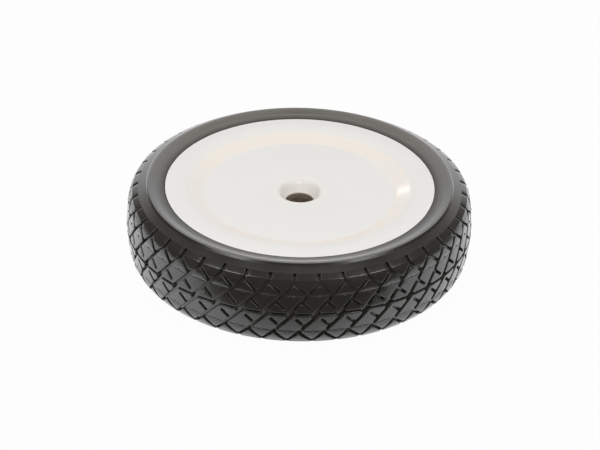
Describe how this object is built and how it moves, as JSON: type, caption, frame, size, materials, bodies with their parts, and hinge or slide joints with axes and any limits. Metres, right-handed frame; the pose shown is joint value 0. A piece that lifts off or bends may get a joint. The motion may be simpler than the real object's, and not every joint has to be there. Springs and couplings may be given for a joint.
{
  "type": "lawn mower wheel",
  "caption": "Push mower wheel: a black rubber tyre with a diamond tread on white pressed steel discs, with a plain steel hub sleeve for an axle.",
  "frame": {"origin": "middle of the wheel, on the axle line and halfway between its two sides", "axes": "+Z along the axle line, out of the side that the picture shows; the wheel lies flat on its other side"},
  "size_m": [0.203, 0.203, 0.0508],
  "materials": {
    "tyre": "satin black moulded rubber",
    "enamel": "warm white gloss enamel on pressed steel sheet",
    "sleeve_steel": "plain steel tube, dull and lightly oiled"
  },
  "bodies": {
    "root": {"tyre": "tyre", "outer_disc": "enamel", "inner_disc": "enamel", "hub_sleeve": "sleeve_steel"}
  },
  "joints": []
}
